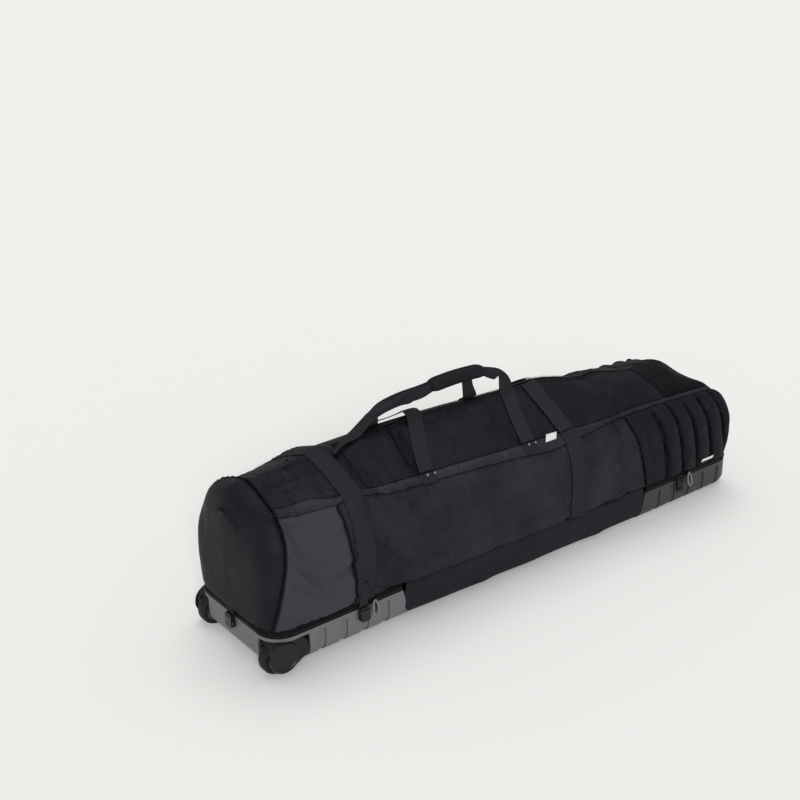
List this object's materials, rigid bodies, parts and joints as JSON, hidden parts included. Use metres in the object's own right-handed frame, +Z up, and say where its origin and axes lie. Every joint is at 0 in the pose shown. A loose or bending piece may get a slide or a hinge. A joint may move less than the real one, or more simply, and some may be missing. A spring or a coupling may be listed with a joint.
{
  "type": "golf travel case",
  "caption": "Wheeled golf travel case with hard end trays, a soft zipped cover, carry handles, closing buckles and a tipping pull handle.",
  "frame": {"origin": "on the floor under the middle of the case's bounding box", "axes": "+X from the wheel end to the pull-handle end, +Y from the near side to the far side, +Z up"},
  "size_m": [1.3441, 0.3062, 0.43],
  "materials": {
    "tray_plastic": "moulded with a fine woven grain, satin",
    "housing_plastic": "moulded, satin",
    "wheel_tread": "smooth polyurethane",
    "hub_plastic": "moulded",
    "bearing_steel": "bright",
    "core_plastic": "moulded",
    "grip_rubber": "soft matte",
    "screw_steel": "dark plated",
    "panel_fabric": "woven polyester",
    "coated_fabric": "coated, smooth",
    "side_fabric": "heavy woven nylon",
    "yoke_fabric": "woven nylon",
    "quilt_fabric": "quilted woven polyester",
    "top_fabric": "woven nylon",
    "floor_fabric": "woven nylon, doubled",
    "zip_tape": "zip tape and coil",
    "webbing": "ribbed webbing",
    "rivet_metal": "nickel plated",
    "grip_fabric": "padded woven cover",
    "buckle_plastic": "moulded acetal, semi-gloss",
    "slider_metal": "dark painted zinc"
  },
  "bodies": {
    "case": {"wheel_tray": "tray_plastic", "head_tray": "tray_plastic", "wheel_housing_near": "housing_plastic", "wheel_cap_near": "housing_plastic", "axle_near": "bearing_steel", "wheel_housing_far": "housing_plastic", "wheel_cap_far": "housing_plastic", "axle_far": "bearing_steel", "pull_bracket_near": "housing_plastic", "pull_bracket_far": "housing_plastic", "tray_screws": "screw_steel", "end_panel": "panel_fabric", "head_cap": "panel_fabric", "side_panel_near": "coated_fabric", "body_side_near": "side_fabric", "yoke_near": "yoke_fabric", "head_pad_near": "quilt_fabric", "side_panel_far": "coated_fabric", "body_side_far": "side_fabric", "yoke_far": "yoke_fabric", "head_pad_far": "quilt_fabric", "top_wheel_end": "top_fabric", "top_head": "top_fabric", "bottom_panel": "floor_fabric", "rim_zips": "zip_tape", "inner_straps": "webbing", "hoop_strap": "webbing", "side_straps": "webbing", "handle_tabs": "webbing", "rivets": "rivet_metal", "buckle_tabs": "webbing", "closing_straps": "webbing", "main_slider": "slider_metal"},
    "wheel_near": {"tyre_near": "wheel_tread", "hub_near": "hub_plastic", "bearings_near": "bearing_steel"},
    "wheel_far": {"tyre_far": "wheel_tread", "hub_far": "hub_plastic", "bearings_far": "bearing_steel"},
    "flap_near": {"flap_near": "top_fabric", "zip_edge_near": "zip_tape"},
    "handle_near": {"handle_near": "webbing", "grip_near": "grip_fabric"},
    "flap_far": {"flap_far": "top_fabric", "zip_edge_far": "zip_tape"},
    "handle_far": {"handle_far": "webbing", "grip_far": "grip_fabric"},
    "pull_handle": {"pull_core": "core_plastic", "pull_grip": "grip_rubber"},
    "female_near": {"female_buckle_near": "buckle_plastic"},
    "female_far": {"female_buckle_far": "buckle_plastic"},
    "female_end": {"female_buckle_end": "buckle_plastic"},
    "male_near": {"male_buckle_near": "buckle_plastic"},
    "male_far": {"male_buckle_far": "buckle_plastic"},
    "male_end": {"male_buckle_end": "buckle_plastic"},
    "slider_wheel": {"rim_slider_wheel": "slider_metal"},
    "slider_head": {"rim_slider_head": "slider_metal"},
    "puller_wheel": {"rim_pull_wheel": "slider_metal"},
    "puller_head": {"rim_pull_head": "slider_metal"},
    "puller_main": {"main_pull": "slider_metal"}
  },
  "joints": [
    {"name": "wheel_near_spin", "type": "hinge", "parent": "case", "child": "wheel_near", "pos_m": [-0.636, -0.112, 0.032], "axis": [0, 1, 0], "continuous": true},
    {"name": "wheel_far_spin", "type": "hinge", "parent": "case", "child": "wheel_far", "pos_m": [-0.636, 0.112, 0.032], "axis": [0, 1, 0], "continuous": true},
    {"name": "flap_near_open", "type": "hinge", "parent": "case", "child": "flap_near", "pos_m": [-0.408, -0.1129, 0.3148], "axis": [0.9985, 0, -0.0547], "range_deg": [0, 105]},
    {"name": "handle_near_fold", "type": "hinge", "parent": "flap_near", "child": "handle_near", "pos_m": [-0.408, -0.1129, 0.3148], "axis": [0.9985, 0, -0.0547], "range_deg": [0, 50]},
    {"name": "flap_far_open", "type": "hinge", "parent": "case", "child": "flap_far", "pos_m": [-0.408, 0.1129, 0.3148], "axis": [-0.9985, 0, 0.0547], "range_deg": [0, 105]},
    {"name": "handle_far_fold", "type": "hinge", "parent": "flap_far", "child": "handle_far", "pos_m": [-0.408, 0.1129, 0.3148], "axis": [-0.9985, 0, 0.0547], "range_deg": [0, 50]},
    {"name": "pull_handle_tip", "type": "hinge", "parent": "case", "child": "pull_handle", "pos_m": [0.652, 0, 0.033], "axis": [0, -1, 0], "range_deg": [0, 50]},
    {"name": "female_near_swing", "type": "hinge", "parent": "case", "child": "female_near", "pos_m": [-0.453, -0.1422, 0.086], "axis": [-1, 0, 0], "range_deg": [0, 85]},
    {"name": "female_far_swing", "type": "hinge", "parent": "case", "child": "female_far", "pos_m": [-0.453, 0.1422, 0.086], "axis": [1, 0, 0], "range_deg": [0, 85]},
    {"name": "female_end_swing", "type": "hinge", "parent": "case", "child": "female_end", "pos_m": [-0.6592, 0, 0.086], "axis": [0, 1, 0], "range_deg": [0, 85]},
    {"name": "male_near_swing", "type": "hinge", "parent": "case", "child": "male_near", "pos_m": [0.45, -0.1422, 0.07], "axis": [-1, 0, 0], "range_deg": [0, 85]},
    {"name": "male_far_swing", "type": "hinge", "parent": "case", "child": "male_far", "pos_m": [0.45, 0.1422, 0.07], "axis": [1, 0, 0], "range_deg": [0, 85]},
    {"name": "male_end_swing", "type": "hinge", "parent": "case", "child": "male_end", "pos_m": [0.6435, 0, 0.102], "axis": [0, -1, 0], "range_deg": [0, 85]},
    {"name": "slider_wheel_run", "type": "slide", "parent": "case", "child": "slider_wheel", "axis": [1, 0, 0], "range_m": [0, 0.055]},
    {"name": "slider_head_run", "type": "slide", "parent": "case", "child": "slider_head", "axis": [1, 0, 0], "range_m": [0, 0.09]},
    {"name": "puller_wheel_swing", "type": "hinge", "parent": "slider_wheel", "child": "puller_wheel", "pos_m": [-0.428, -0.1454, 0.085], "axis": [-1, 0, 0], "range_deg": [0, 150]},
    {"name": "puller_head_swing", "type": "hinge", "parent": "slider_head", "child": "puller_head", "pos_m": [0.478, -0.1454, 0.072], "axis": [-1, 0, 0], "range_deg": [0, 150]},
    {"name": "puller_main_swing", "type": "hinge", "parent": "case", "child": "puller_main", "pos_m": [-0.518, 0, 0.363], "axis": [0, 1, 0], "range_deg": [0, 150]}
  ]
}
